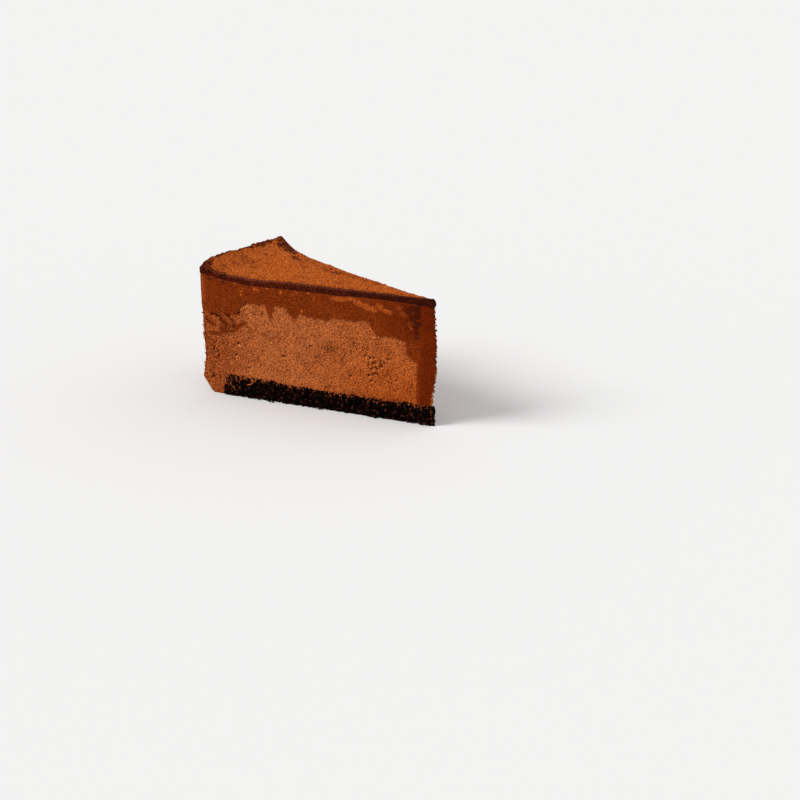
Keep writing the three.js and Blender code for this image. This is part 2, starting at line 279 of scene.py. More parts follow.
def close_tree(tree, geometry, material):
    """Every tree ends the same way: nothing outside the slice's box, instances made real, the finish."""
    real = wire(tree, "GeometryNodeRealizeInstances", {0: geometry}).outputs[0]
    sides = wire(tree, "ShaderNodeSeparateXYZ", {0: here(tree)}).outputs
    limits = ({0: sides[i], 1: cad_box[0][i], 2: cad_box[1][i]} for i in range(3))
    held = [wire(tree, "ShaderNodeClamp", feeds).outputs[0] for feeds in limits]
    spot = wire(tree, "ShaderNodeCombineXYZ", enumerate(held)).outputs[0]
    boxed = wire(tree, "GeometryNodeSetPosition", {"Geometry": real, "Position": spot}).outputs[0]
    feeds = {"Geometry": boxed, "Material": material}
    finish = wire(tree, "GeometryNodeSetMaterial", feeds).outputs[0]
    tree.links.new(finish, tree.nodes.new("NodeGroupOutput").inputs[0])


def made(piece, tree, sizes, name=None):
    """Runs a tree on a piece and gives a plain mesh, in the piece itself or in a new one of that name."""
    modifier = piece.modifiers.new(tree.name, "NODES")
    modifier.node_group = tree
    for socket in tree.interface.items_tree:
        if socket.in_out == "INPUT" and socket.name in sizes:
            modifier[socket.identifier] = sizes[socket.name]
    depsgraph = bpy.context.evaluated_depsgraph_get()
    mesh = bpy.data.meshes.new_from_object(piece.evaluated_get(depsgraph))
    piece.modifiers.remove(modifier)
    if name is None:
        piece.data = mesh
        return piece
    mesh.name = name
    return new_piece(name, mesh)


def new_material(name, roughness, specular):
    material = bpy.data.materials.new(name)
    material.use_nodes = True
    shader = material.node_tree.nodes["Principled BSDF"]
    shader.inputs["Roughness"].default_value = roughness
    shader.inputs["Specular IOR Level"].default_value = specular
    place = material.node_tree.nodes.new("ShaderNodeTexCoord").outputs["Object"]
    return material, material.node_tree, shader, place


def ramp(tree, value, colours, **places):
    """A colour ramp through some of the named colours, each at its place."""
    node = wire(tree, "ShaderNodeValToRGB", {0: value})
    while len(node.color_ramp.elements) < len(places):
        node.color_ramp.elements.new(0.5)
    for element, (name, at) in zip(node.color_ramp.elements, places.items()):
        element.position = at
        element.color = (*colours[name], 1)
    return node.outputs[0]


def bumped(tree, shader, height, depth):
    feeds = {"Height": height, "Distance": depth * MM}
    tree.links.new(wire(tree, "ShaderNodeBump", feeds).outputs[0], shader.inputs["Normal"])


def attribute(tree, label):
    return wire(tree, "ShaderNodeAttribute", attribute_name=label).outputs["Fac"]


def lumps_at(tree, points, scale, material, jag):
    """Small broken lumps on points, turned at random and jagged by a depth in mm."""
    feeds = {"Radius": 1.0, "Subdivisions": LUMP_FACES}
    lump = wire(tree, "GeometryNodeMeshIcoSphere", feeds).outputs[0]
    feeds = {1: (LUMP_TURN,) * 3, "Seed": LUMP_SEED}
    turn = wire(tree, "FunctionNodeRandomValue", feeds, data_type="FLOAT_VECTOR").outputs[0]
    feeds = {"Points": points, "Instance": lump, "Scale": scale, "Rotation": turn}
    lumps = wire(tree, "GeometryNodeInstanceOnPoints", feeds).outputs[0]
    lumps = wire(tree, "GeometryNodeRealizeInstances", {0: lumps}).outputs[0]
    close_tree(tree, push(tree, lumps, noise(tree, here(tree), JAG_SIZE, jag * MM)), material)


def sprinkled(piece, name, chosen, material, density, least, most, seed):
    """A new piece: lumps on the faces where chosen(tree) is true. Most are near the least size, in mm."""
    sizes = {"Number per square metre": density, "Least": least * MM, "Most": most * MM, "Seed": seed}
    tree, inputs = new_tree(name.replace("_", " "), sizes)
    feeds = {
        "Mesh": inputs["Geometry"],
        "Density": inputs["Number per square metre"],
        "Seed": inputs["Seed"],
        "Selection": chosen(tree),
    }
    spots = wire(tree, "GeometryNodeDistributePointsOnFaces", feeds).outputs["Points"]
    draw = wire(tree, "FunctionNodeRandomValue", {"Seed": seed + 1}).outputs[1]
    spread = plus(tree, inputs["Most"], times(tree, inputs["Least"], -1.0))
    growth = times(tree, spread, math_node(tree, "POWER", draw, MOSTLY_SMALL))
    scale = plus(tree, inputs["Least"], growth)
    tint = wire(tree, "FunctionNodeRandomValue", {2: -0.5, 3: 0.5, "Seed": seed + 2}).outputs[1]
    lumps_at(tree, keep_value(tree, spots, "tint", tint), scale, material, 1.2 * least)
    return made(piece, tree, sizes, name)


def strewn(name, spots, labels, material, jag):
    """A new piece: lumps at spots. A spot is x, y, z and a size in mm, and a value for each label."""
    spots = np.array(spots)
    mesh = bpy.data.meshes.new(name)
    mesh.from_pydata((spots[:, :3] * MM).tolist(), [], [])
    store(mesh, "size", spots[:, 3] * MM)
    for label, values in zip(labels, spots.T[4:]):
        store(mesh, label, values)
    sizes = {"Size": 1.0}
    tree, inputs = new_tree(name.replace("_", " "), sizes)
    scale = times(tree, value_of(tree, "size"), inputs["Size"])
    lumps_at(tree, inputs["Geometry"], scale, material, jag)
    return made(new_piece(name, mesh), tree, sizes)


def dress(slot, *pieces):
    """Attaches pieces that belong to the food itself to the root. The slot is not used."""
    for piece in pieces:
        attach(piece, "root")


def crust_top(x, y, reach):
    return waves(x, y, CRUST_WAVES, along(CRUST_TOP, reach))


def place_crust(u, v, w):
    reach = CRUST_TIP + (along(CRUST_END, CRUST_HEIGHT * w) - CRUST_TIP) * u
    x, y = plan(reach, v)
    cut = (np.abs(v) == 1) | (u == 0)
    # Bits are missing from the lower edge of the cuts.
    chip = CHIP_DEPTH * np.maximum(waves(x, y, CHIP_WAVES), 0) * (1 - w) ** 8 * cut
    return x, y, w * crust_top(x, y, reach) + chip, {"cut": cut, "away": outward(v, cut, 0.0)}


def on_the_cuts(tree):
    return math_node(tree, "GREATER_THAN", value_of(tree, "cut"), 0.5)


crust_stuff, tree, shader, place = new_material("cookie crumb", 0.8, 0.02)
speckle = noise(tree, place, 1.1, 1.8, detail=4, roughness=0.65)
fleck = plus(tree, 0.5, speckle, times(tree, attribute(tree, "tint"), 0.5))
colour = ramp(tree, fleck, CRUST_BROWNS, gap=0.5, dark=0.68, brown=0.88, light=1.0)
tree.links.new(colour, shader.inputs["Base Color"])
bumped(tree, shader, noise(tree, place, 0.35, detail=3, roughness=0.7), 0.3)

lengthwise, upwards = steps(CRUST_LENGTH, CRUST_FACE), steps(CRUST_HEIGHT, CRUST_FACE)
crust = block("cookie_crust_body", lengthwise, np.linspace(-1, 1, CRUST_COLUMNS), upwards, place_crust)
tree, inputs = new_tree("Crumbly cut faces", CRUST_RELIEF)
domes = math_node(tree, "SUBTRACT", 0.45, cells(tree, here(tree), CRUMB_SIZE)[0])
relief = times(tree, plus(tree, domes, noise(tree, here(tree), 2.2, detail=3), -0.12), inputs["Depth"])
close_tree(tree, push_away(tree, inputs["Geometry"], relief), crust_stuff)
made(crust, tree, CRUST_RELIEF)

# Crumbs stand out of the cut faces, each a small broken lump.
CRUMBS = {"density": 2.4e6, "least": 0.18, "most": 0.75, "seed": 3}
crust_crumbs = sprinkled(crust, "cookie_crust_crumbs", on_the_cuts, crust_stuff, **CRUMBS)

# Loose crumbs have dropped along the foot of both cuts.
CRUMBS_AT_A_FOOT = 210
FOOT_START = 2.5
# How far out they lie, and how this changes along the foot.
FOOT_SPREAD = 1.1
FOOT_WAVES = [(1.2, 7, 72)]
random = np.random.default_rng(71)
spots = []
for turn in (-1, 1):
    span = (FOOT_START, 0, 0), (CRUST_LENGTH, 1, 1)
    for distance, out, big in random.uniform(*span, (CRUMBS_AT_A_FOOT, 3)):
        spread = waves(distance, 9.0 * turn, FOOT_WAVES, FOOT_SPREAD)
        spot = on_cut(turn, distance, 0.2 + 0.35 * big, spread * out - 0.2)
        spots.append((*spot, 0.26 + 0.46 * big**2, random.uniform(-0.5, 0.5)))
loose_crumbs = strewn("cookie_crust_loose_crumbs", spots, ["tint"], crust_stuff, 0.3)

dress("cookie_crust", crust, crust_crumbs, loose_crumbs)
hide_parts("cookie_crust")


# The mousse
# Chocolate mousse with whipped cream, set in the ring. The knife tore its lower part open, so its pores
# show there. Above, and all down the tip, the warm knife smeared it into a smooth darker skin with drips.
TOP_HEIGHT = 55.3
TOP_WAVES = [(0.12, 11, 8)]
RING_RADIUS = 115
# The top climbs to the rim: where the climb starts, its power, and how high it is at each angle in degrees.
RIM_FOOT = 86
RIM_CURVE = 2.3
RIM_HEIGHT = [
    [-13.5, 7.2], [-11, 6.6], [-8, 6.1], [-4, 5.2], [0, 5.3], [6, 5.3], [9, 4.9], [11.2, 4.0], [13.5, 2.6],
]
# How far the top bulges or sinks along each cut: distance, height.
TOP_SWELL = {
    "near": [[70, 0], [82, -0.35], [90, -0.6], [98, -0.35], [110, 0]],
    "far": [
        [8, 0], [18, -0.5], [30, -0.5], [40, -0.1], [60, -0.2], [72, 0.2], [84, 0.6], [96, 0.85],
        [104, 0.2], [115, 0],
    ],
}
# The outline of the ring's wall, as height and distance, and the distance over which the mousse follows it.
WALL = [
    [0, 110.3], [1.3, 111.8], [5.4, 114.8], [7.4, 116.1], [9.4, 115.6], [17, 114.2], [26, 114.6],
    [34, 114.8], [40, 114.9], [48, 115.1], [62, 115.0],
]
WALL_BLEND = (100, 15)
CORNER_RADIUS = 0.7
CORNER_PULL = 0.7
# How far the mousse's underside lies over the crust's top. It runs on down to the bottom beyond this.
MOUSSE_FOOT = [[0, 0.05], [102.7, 0.05], [104.1, -4.3], [105.2, -9.2]]
MOUSSE_FOOT_END = 105
# The nose is as uneven as this along its height, out to this distance, and rounded between the cuts.
NOSE_OFFSET = [
    [0, -0.6], [8, -1.7], [14, -0.9], [18, -0.2], [22, 1.2], [26, 1.5], [31, 1.2], [36, 1.5], [41, 0.7],
    [47, 0.5], [50, 0], [70, 0],
]
NOSE_REACH = 12
NOSE_BULGE = 0.2
GANACHE_DEPTH = 3.0
SMEAR_LEVEL = 44
# The smear's edge at the tip: height, distance.
SMEAR_TIP = [[8.2, 9.4], [27, 9.9], [29.5, 14], [35.5, 15], [36.5, 19], [44, 21]]
# Distance, half width and drop of each drip, and its power: 2 is pointed and 6 is broad.
DRIPS = {
    "near": [
        (106, 11.2, 6.6, 6), (90, 4, 1.5, 2), (79.9, 1.6, 6.9, 2), (67.8, 3.4, 4.6, 2), (57, 6.6, 3.6, 6),
        (42, 9, 2.4, 6), (29, 1.8, 1.3, 2), (21.5, 9.8, 7.4, 6),
    ],
    "far": [
        (112, 6, 3.6, 6), (96, 5, 2.4, 6), (74.4, 1.9, 6.6, 2), (66, 8, 3, 6), (36, 2.6, 7.2, 2),
        (22, 9, 7.4, 6),
    ],
}
# Marks on the cuts: distance, height, half length, half height and slope.
# A patch is smooth inside the torn part, and a bare spot is torn inside the smear.
PATCHES = {
    "near": [(95, 33.6, 3.6, 1.3, -0.4)],
    "far": [(88, 41, 5, 1.2, 0.1)],
}
BARE = {
    "near": [(30, 38.2, 1.1, 1.2, 0), (88.6, 43.2, 4.6, 1.5, 0)],
    "far": [(96, 42, 3, 1.5, 0)],
}
# Streaks where the knife scuffed the smear.
STREAKS = {
    "near": [
        (45.8, 50.8, 4.6, 1.1, 0), (40.8, 51.6, 1.8, 0.9, 0), (36.9, 50.3, 2.8, 1.4, 0.3),
        (32.6, 48.9, 2.6, 1.4, 0.3), (29.4, 48.2, 1.8, 1.5, 0), (26.4, 49.6, 1.8, 1.4, 0.3),
        (23, 47.9, 2.6, 1.1, 0.2), (15.4, 47.4, 2, 1.4, 0.3), (12, 43.4, 1.6, 1.3, 0),
        (17.6, 50, 1.6, 1, 0),
    ],
    "far": [(58, 50, 9, 1.5, 0)],
}
# Open, crumbly places in the torn part.
ROUGH = {
    "near": [
        (30, 21.5, 3.6, 7.2, -0.35), (28, 25, 6, 2.8, 0.1), (110, 8, 7, 5, 0), (51, 28, 3, 2.2, 0),
        (108, 20, 4.5, 7, 0),
    ],
    "far": [(48, 27, 9, 6, 0), (100, 18, 6, 8, 0)],
}
# Hollows of smooth brown mousse beside the ridges, their dark colour partly the smooth mousse and partly
# painted shade in the hollow.
FOLDS = {
    "near": [
        (108.4, 28.2, 5, 1.6, 0.05), (104, 30, 4, 2.6, 0.2), (99.5, 30.2, 5, 1.2, -0.2),
        (96.6, 32, 3, 1.2, -0.4),
    ],
    "far": [(100, 35, 4, 1.2, 0.2)],
}
# Where the mousse broke away deeper, in overlapping ridges.
RIDGES = {
    "near": (103.5, 34.6, 11.5, 4.6, 0.05),
    "far": (48, 27, 9, 6, 0.2),
}
RIDGE_LEAN = math.radians(36)
RIDGE_SPACING = 1.6
RIDGE_WAVES = [(3.4, 4.5, 41), (1.8, 1.7, 42)]
RIDGE_HEIGHT = [(0.8, 2.4, 43)]
# Deep creases between the ridges, and raised lips beside them: both ends (distance, height) and half width.
CREASES = {
    "near": [
        (110, 37.1, 105.6, 35.2, 0.55), (105.6, 35.2, 101, 31.0, 0.6), (105.6, 39.6, 101.2, 36.9, 0.5),
        (101.2, 36.9, 97.2, 33.8, 0.5), (99.2, 31.9, 95.8, 33.1, 0.5), (112, 33.4, 108.4, 31.6, 0.5),
        (107.5, 40.6, 104.2, 41.2, 0.4), (96.6, 37.4, 95.6, 40.2, 0.4), (95.6, 41, 92.4, 43, 0.4),
    ],
    "far": [(56, 33, 47, 27, 0.6), (52, 29, 44, 22, 0.6)],
}
LIPS = {
    "near": [
        (108.6, 35.1, 104.4, 32.9, 0.6), (105.6, 36.6, 101.6, 33.6, 0.5), (104.2, 37.6, 99.4, 33.4, 0.5),
        (100.4, 37.6, 96, 34.6, 0.6), (95.2, 37.8, 94.6, 39.9, 0.45), (94.6, 39.9, 93.1, 41.6, 0.45),
        (93.1, 41.6, 90, 42.3, 0.45), (110.5, 31.4, 107, 30.4, 0.5), (107.4, 39.4, 103.4, 39.9, 0.4),
    ],
    "far": [(54, 30.6, 46, 25.4, 0.6)],
}
# Round marks: distance, height, radius. Bruises are soft brown places in the torn part.
BRUISES = {
    "near": [
        (24.7, 30.7, 1.4), (44.9, 23, 2.2), (50.2, 28.6, 2.6), (57.7, 22.9, 2.2), (76.8, 21, 0.9),
        (88, 18, 2.6), (106, 38, 3), (100.5, 35.5, 3),
    ],
    "far": [(64, 30, 2.2), (40, 22, 1.6)],
}
# Open bubbles, painted dark as shade with a painted highlight below each; painted glints on the pores;
# specks of pale mousse on the smear.
PITS = {
    "near": [
        (96.8, 24.6, 0.65), (98.1, 19.2, 0.5), (51.1, 43.2, 0.4), (9.2, 32.8, 0.4), (38.9, 41.5, 0.3),
        (109.6, 36.6, 0.4), (107.2, 36.1, 0.45), (102.4, 32.4, 0.45), (100.9, 31.2, 0.45),
        (98.3, 31.7, 0.4), (74.4, 21.6, 0.45), (73.4, 21.7, 0.4), (84, 39.8, 0.4), (33.9, 26.8, 0.5),
        (31.4, 26.3, 0.5), (28.9, 24.3, 0.55), (26.4, 23.1, 0.5), (24.8, 24.8, 0.5), (23, 26.6, 0.45),
        (30.6, 21.7, 0.55), (32.3, 18.3, 0.6), (31.1, 16.1, 0.5), (28.1, 21.7, 0.5), (32.3, 23.1, 0.5),
        (29.2, 19.4, 0.45), (26.6, 25.6, 0.4), (60.5, 28, 0.35), (62, 23.4, 0.35), (41, 17, 0.35),
        (19, 18, 0.35), (51.3, 42.9, 0.35), (10.2, 32.4, 0.4), (23.7, 41.4, 0.3),
    ],
    "far": [(86, 30, 0.6), (64, 20, 0.5), (48, 29, 0.6), (45, 25, 0.5), (30, 46, 0.4), (101, 16, 0.5)],
}
GLINTS = {
    "near": [
        (95.5, 39.6, 0.45), (95.1, 40.6, 0.4), (94.3, 41.4, 0.4), (93.1, 42, 0.4), (91.8, 42.4, 0.4),
        (90.3, 42.3, 0.35), (90.4, 38.6, 0.45), (89.5, 40.6, 0.4), (99.8, 36.8, 0.5), (106.2, 33.4, 0.4),
        (94.6, 23.8, 0.5), (59.5, 30.4, 0.4), (85.4, 19.4, 0.4), (83.2, 19.8, 0.4), (79.6, 26.8, 0.35),
        (100.5, 15, 0.4), (46, 27, 0.4), (63, 35.4, 0.4),
    ],
    "far": [],
}
SPECKS = {
    "near": [
        (87, 50.7, 0.9), (85.6, 50.2, 0.6), (81, 51.7, 0.5), (74, 50.6, 0.75), (71, 52, 0.5),
        (66.5, 51.2, 0.5), (94, 48.7, 0.5), (94.2, 47.3, 0.45), (97, 52, 0.5), (60.6, 51.9, 0.5),
        (63.3, 50.3, 0.4), (64, 43.4, 0.6), (11.8, 41.8, 0.45), (10.3, 53, 0.8), (30, 48.4, 0.5),
    ],
    "far": [(80, 50, 0.8), (70, 51.5, 0.6), (52, 50.8, 0.7), (90, 49.5, 0.5)],
}
# Where other finishes lie: parts to add, each a strength and the windows that it shows in. A window is an
# axis, where it begins to open, and how many mm it takes to open. It opens backwards if that is negative.
WINDOWS = {
    "spots": [(1, [("height", 47.5, 2), ("distance", 102, -6), ("distance", 46, 8)])],
    "scraped": [(1, [("distance", 20, -10), ("height", 31, 16), ("distance", 6.7, 1.2)])],
    "pale": [(1, [("height", 26, -10), ("distance", 40, 20), ("distance", 96, -10)])],
    "dense": [
        (0.75, [("distance", 84, 29)]),
        (0.25, [("height", 14, -7), ("distance", 70, -30)]),
        (0.4, [("distance", 92, 8), ("height", 29, 4)]),
    ],
}
NEAR_CORNER = [(1, [("distance", 112, 1.5), ("height", 42, 2)])]
# The ganache on top is thinner where it climbs to the rim, and next to the tip.
GANACHE_THINNER = [(0.35, [("distance", 70, 30)]), (0.4, [("distance", 8, 6), ("distance", 48, -14)])]
ROUGH_NOSE = [(1, [("height", 9, 3), ("height", 54, -3)])]
ONLY_ON_THE_CUTS = ("ridge", "pit", "painted_highlight", "rough", "fold", "speck", "corner", "bruise", "pale")
MOUSSE_TIP = 1.9
# The length and the height that the faces divide, each with the breadth of a face.
MOUSSE_LENGTH, MOUSSE_HEIGHT = (113, 0.38), (45, 0.385)
MOUSSE_RELIEF = {"Tear": 0.5 * MM, "Pore": 0.5 * MM, "Gap": 0.9 * MM, "Wall": 0.4 * MM}
MOUSSE_COLOURS = {
    "pore": (0.13, 0.0215, 0.0035),
    "torn": (0.41, 0.0945, 0.022),
    "light": (0.635, 0.181, 0.051),
    "glint": (0.78, 0.27, 0.075),
    "fold": (0.15, 0.0225, 0.0036),
    "smear": (0.1, 0.0115, 0.0011),
    "smear_light": (0.232, 0.037, 0.0046),
    "speck": (0.52, 0.115, 0.017),
    "streak": (0.44, 0.088, 0.014),
    # Painted shade for the tip's face, which turns away from the light.
    "facet": (0.078, 0.0078, 0.0007),
    "facet_light": (0.152, 0.0158, 0.0014),
    "dark": (0.034, 0.0044, 0.0014),
}
# The torn part is painted warmer towards the tip and low down, as warm light reflected from below, and
# looks denser towards the outer end.
REFLECTED_WARMTH_TINT = (0.96, 0.77, 0.47)
DENSE_TINT = (0.9, 0.76, 0.62)


def fade(value, start, run):
    """0 up to the start, and 1 from a run past it. A negative run goes the other way."""
    return eased((value - start) / run)


def rounded(gap, radius):
    """How far a rounded edge draws back at a gap from the edge."""
    return radius * (1 - np.sqrt(1 - np.clip(1 - gap / radius, 0, 1) ** 2))


def rim_angle(x, y):
    """Degrees about the centre, positive on the near side."""
    return np.degrees(np.arctan2(-y, CENTRE - x))


def top_height(x, y):
    reach = np.hypot(CENTRE - x, y)
    climb = np.maximum(0, (reach - RIM_FOOT) / (RING_RADIUS - RIM_FOOT)) ** RIM_CURVE
    angle = rim_angle(x, y)
    nearness = np.clip(angle / SLICE_ANGLE + 0.5, 0, 1)
    swell = along(TOP_SWELL["far"], reach) * (1 - nearness) + along(TOP_SWELL["near"], reach) * nearness
    return waves(x, y, TOP_WAVES, TOP_HEIGHT) + swell + along(RIM_HEIGHT, angle) * climb


def ganache_depth(reach):
    return GANACHE_DEPTH - shown(GANACHE_THINNER, distance=reach)


def smear_edge(distance, drips):
    reach = ((drop, np.abs((distance - at) / width) ** power) for at, width, drop, power in drips)
    return SMEAR_LEVEL - sum(drop * np.exp(-gap) for drop, gap in reach)


def inside(distance, height, *marks):
    """How far inside the nearest mark: 1 in its middle, 0 on its outline, less outside."""
    spans = []
    for at, level, length, depth, slope in marks:
        rise = height - level - slope * (distance - at)
        spans.append(1 - np.hypot((distance - at) / length, rise / depth))
    return np.max(spans, axis=0)


def dotted(distance, height, dots):
    """1 at each dot, fading to 0 round it."""
    gaps = (((distance - at) ** 2 + (height - level) ** 2) / radius**2 for at, level, radius in dots)
    return sum(np.exp(-(gap**2)) for gap in gaps)


def scored(distance, height, lines):
    """1 along each line, fading to 0 beside it. The lines waver a little."""
    sideways, upward = 0.5 * ripple(distance, height, 1.9, 44), 0.5 * ripple(height, distance, 1.9, 45)
    distance, height = distance + sideways, height + upward
    total = 0
    for x0, z0, x1, z1, width in lines:
        run, rise = x1 - x0, z1 - z0
        at = np.clip(((distance - x0) * run + (height - z0) * rise) / (run**2 + rise**2), 0, 1)
        gap = (distance - x0 - at * run) ** 2 + (height - z0 - at * rise) ** 2
        total = total + np.exp(-(gap / width**2))
    return total


def shown(parts, **at):
    """How strongly a finish shows at a distance and a height, from its parts and their windows."""
    total = 0
    for strength, windows in parts:
        for axis, start, run in windows:
            strength = strength * fade(at[axis], start, run)
        total = total + strength
    return total


def face_values(distance, height, side):
    """How strongly each finish and mark shows at each point, on the cut of one side."""
    drips, lips = DRIPS[side], scored(distance, height, LIPS[side])
    # How far inside the smear, in mm, square to its edge.
    slope = (smear_edge(distance + 0.2, drips) - smear_edge(distance - 0.2, drips)) / 0.4
    smeared = (height - smear_edge(distance, drips)) / np.sqrt(1 + slope**2)
    # The tip, the patches, the bare spots and the lips change it.
    smeared = np.maximum(smeared, along(SMEAR_TIP, height) - distance)
    smeared = np.maximum(smeared, 2.4 * inside(distance, height, *PATCHES[side]) - 0.3)
    smeared = np.minimum(smeared, 0.8 - 1.5 * inside(distance, height, *BARE[side]))
    smeared = np.minimum(smeared, 1.2 - 3 * lips)
    # Overlapping ridges, with raised lips and creases among them.
    lean = height * math.cos(RIDGE_LEAN) - distance * math.sin(RIDGE_LEAN)
    waver = waves(distance, height, RIDGE_WAVES)
    ridge = np.sin(2 * math.pi * lean / RIDGE_SPACING + waver) * waves(distance, height, RIDGE_HEIGHT, 0.9)
    ridge = 0.6 * ridge * np.clip(1.8 * inside(distance, height, RIDGES[side]), 0, 1)
    ridge = ridge + 1.1 * lips - 2 * scored(distance, height, CREASES[side])
    # Painted highlights on the lower edge of each open bubble.
    pit_highlights = 0.75 * dotted(distance + 0.5, height + 0.75, PITS[side])
    streak = np.clip(1.8 * inside(distance, height, *STREAKS[side]) + 0.35, 0, 1)
    # Painted shade on the tip's face, which turns away from the light, and up the smear near the tip.
    tip_shade = fade(distance, 9.5, -3.5) * (0.85 + 0.15 * fade(height, 38, 6))
    return {
        **{label: shown(parts, distance=distance, height=height) for label, parts in WINDOWS.items()},
        "corner": (side == "near") * shown(NEAR_CORNER, distance=distance, height=height),
        "smeared": smeared,
        "ridge": ridge,
        "pit": dotted(distance, height, PITS[side]),
        "painted_highlight": pit_highlights + dotted(distance, height, GLINTS[side]),
        "speck": dotted(distance, height, SPECKS[side]),
        "bruise": dotted(distance, height, BRUISES[side]),
        "rough": np.clip(1.6 * inside(distance, height, *ROUGH[side]), 0, 1),
        "fold": eased(1.3 * inside(distance, height, *FOLDS[side])),
        "streak": streak * (1 - 0.55 * fade(distance, 21, -3)),
        "reflected_warmth": fade(distance, 74, -60) * (1 - 0.6 * fade(height, 14, 22)),
        "tip_shade": np.maximum(tip_shade, 0.55 * fade(distance, 29, -10) * fade(height, 32, 9)),
    }


def place_mousse(u, v, w):
    reach = MOUSSE_TIP + (RING_RADIUS - MOUSSE_TIP) * u
    x, y = plan(reach, v)
    low = along(MOUSSE_FOOT, reach) + crust_top(x, y, reach)
    low = np.where(reach > MOUSSE_FOOT_END, 0.0, np.maximum(low, 0.0))
    high = top_height(x, y) - ganache_depth(reach)
    z = low + (high - low) * w
    rounding = rounded(RING_RADIUS - reach, CORNER_RADIUS)
    turn = v * (1 - CORNER_PULL * rounding / (reach * HALF_ANGLE))
    blend_start, blend_run = WALL_BLEND
    reach = reach + (along(WALL, z) - RING_RADIUS) * np.clip((reach - blend_start) / blend_run, 0, 1)
    x, y = plan(reach, turn)
    x = x + along(NOSE_OFFSET, z) * np.maximum(0, 1 - reach / NOSE_REACH)
    x = x + NOSE_BULGE * (1 - v * v) * (u == 0)
    near, far = (face_values(reach, z, side) for side in ("near", "far"))
    values = {label: np.where(v < 0, near[label], far[label]) for label in near}
    cut = (np.abs(v) == 1) | (u == 0)
    wall = u == 1
    for label in ONLY_ON_THE_CUTS:
        values[label] = values[label] * cut
    values["cut"] = cut
    values["nose"] = (u == 0) * shown(ROUGH_NOSE, height=z)
    values["wall"] = wall
    return x, y, z, {**values, "away": outward(v, cut, wall)}


def mixed(tree, share, first, second):
    """A blend of two colours: the first at share 0, the second at share 1."""
    first, second = ((*side, 1) if isinstance(side, tuple) else side for side in (first, second))
    return wire(tree, "ShaderNodeMix", {0: share, 6: first, 7: second}, data_type="RGBA").outputs[2]


def layered(tree, colour, *layers):
    """A colour with others laid over it, each by its share."""
    return reduce(lambda under, layer: mixed(tree, layer[0], under, layer[1]), layers, colour)


def tinted(tree, colour, share, tint):
    """A colour times a tint, by a share from 0 to 1."""
    feeds = {0: 1.0, 6: colour, 7: mixed(tree, share, (1, 1, 1), tint)}
    return wire(tree, "ShaderNodeMix", feeds, data_type="RGBA", blend_type="MULTIPLY").outputs[2]


def scattered(tree, place, size, reach, share, offset=0):
    """Small round dots: 1 in the middle of some of the cells, by share, and 0 beyond their reach."""
    feeds = {0: place, 1: (offset * MM, 0, 0)}
    moved = wire(tree, "ShaderNodeVectorMath", feeds, operation="ADD").outputs[0]
    distance, draw = cells(tree, moved, size)
    chosen = shifted(tree, draw, 1 - share - 0.04, 1 - share + 0.04)
    return times(tree, shifted(tree, distance, reach * 0.5, reach, 1.0, 0.0), chosen)


mousse_stuff, tree, shader, place = new_material("chocolate mousse", 0.75, 0.01)
dye = MOUSSE_COLOURS
cloud = noise(tree, place, 7, detail=3)
grain = noise(tree, place, 0.37, detail=1)
shade = plus(tree, 0.5, times(tree, cloud, 0.8), times(tree, grain, 4.0), attribute(tree, "tone"))
# The torn mousse's grain: its own mottled tone, with dark dots of painted shade in the pores and glint dots
# of painted highlight.
torn_colour = layered(
    tree,
    ramp(tree, shade, dye, pore=0.1, torn=0.47, light=0.95),
    (times(tree, scattered(tree, place, 0.9, reach=0.38, share=0.2), 0.85), dye["pore"]),
    (times(tree, scattered(tree, place, 1.3, reach=0.28, share=0.2, offset=31), 0.9), dye["glint"]),
)
# Painted warm reflected light towards the tip and low down, then the denser tone.
torn_colour = tinted(tree, torn_colour, attribute(tree, "reflected_warmth"), REFLECTED_WARMTH_TINT)
torn_colour = tinted(tree, torn_colour, attribute(tree, "dense"), DENSE_TINT)
# The folds' dark brown is partly painted shade in their hollows.
fold = plus(tree, attribute(tree, "fold"), times(tree, grain, 0.5), noise(tree, place, 2.2, 0.8))
# Painted highlights on the bubbles and glints are laid over the torn colour, then the folds.
torn_colour = layered(
    tree,
    torn_colour,
    (times(tree, attribute(tree, "painted_highlight"), 0.7), dye["glint"]),
    (shifted(tree, fold, 0.1, 0.9, 0.0, 0.9), dye["fold"]),
)

# The smear is smoother and darker. Torn spots, streaks and specks show through it near the top. Near the
# tip it is painted darker still, as shade on the tip's face that turns away from the light, with a dark
# scraped patch.
shade = plus(tree, 0.5, times(tree, cloud, 0.65), noise(tree, place, 0.45, 3.4, detail=1, roughness=0.6))
facet = ramp(tree, shade, dye, facet=0.1, facet_light=0.9)
rubbed = shifted(tree, noise(tree, place, 0.8, detail=3, roughness=0.75), -0.11, 0.06)
rubbed = times(tree, attribute(tree, "streak"), rubbed)
scuffed = shifted(tree, noise(tree, place, 1.1, detail=3, roughness=0.7), 0.16, 0.4)
streak = math_node(tree, "MAXIMUM", rubbed, scuffed)
patch = times(tree, attribute(tree, "scraped"), 0.52)
scraped = plus(tree, noise(tree, place, 0.8, 1.5, roughness=0.7), noise(tree, place, 2.8), patch)
dots = times(tree, scattered(tree, place, 1.9, reach=0.26, share=0.35, offset=11), attribute(tree, "spots"))
broken = shifted(tree, noise(tree, place, 0.9, detail=3, roughness=0.7), -0.12, 0.05)
speck = times(tree, attribute(tree, "speck"), broken)
smear_colour = layered(
    tree,
    ramp(tree, shade, dye, smear=0.2, smear_light=0.8),
    (attribute(tree, "tip_shade"), facet),
    (streak, dye["streak"]),
    (times(tree, attribute(tree, "corner"), 0.34), dye["torn"]),
    (shifted(tree, scraped, 0.12, 0.6, 0.0, 0.85), dye["dark"]),
    (math_node(tree, "MAXIMUM", times(tree, dots, 0.6), speck), dye["speck"]),
)
smear = attribute(tree, "smear")
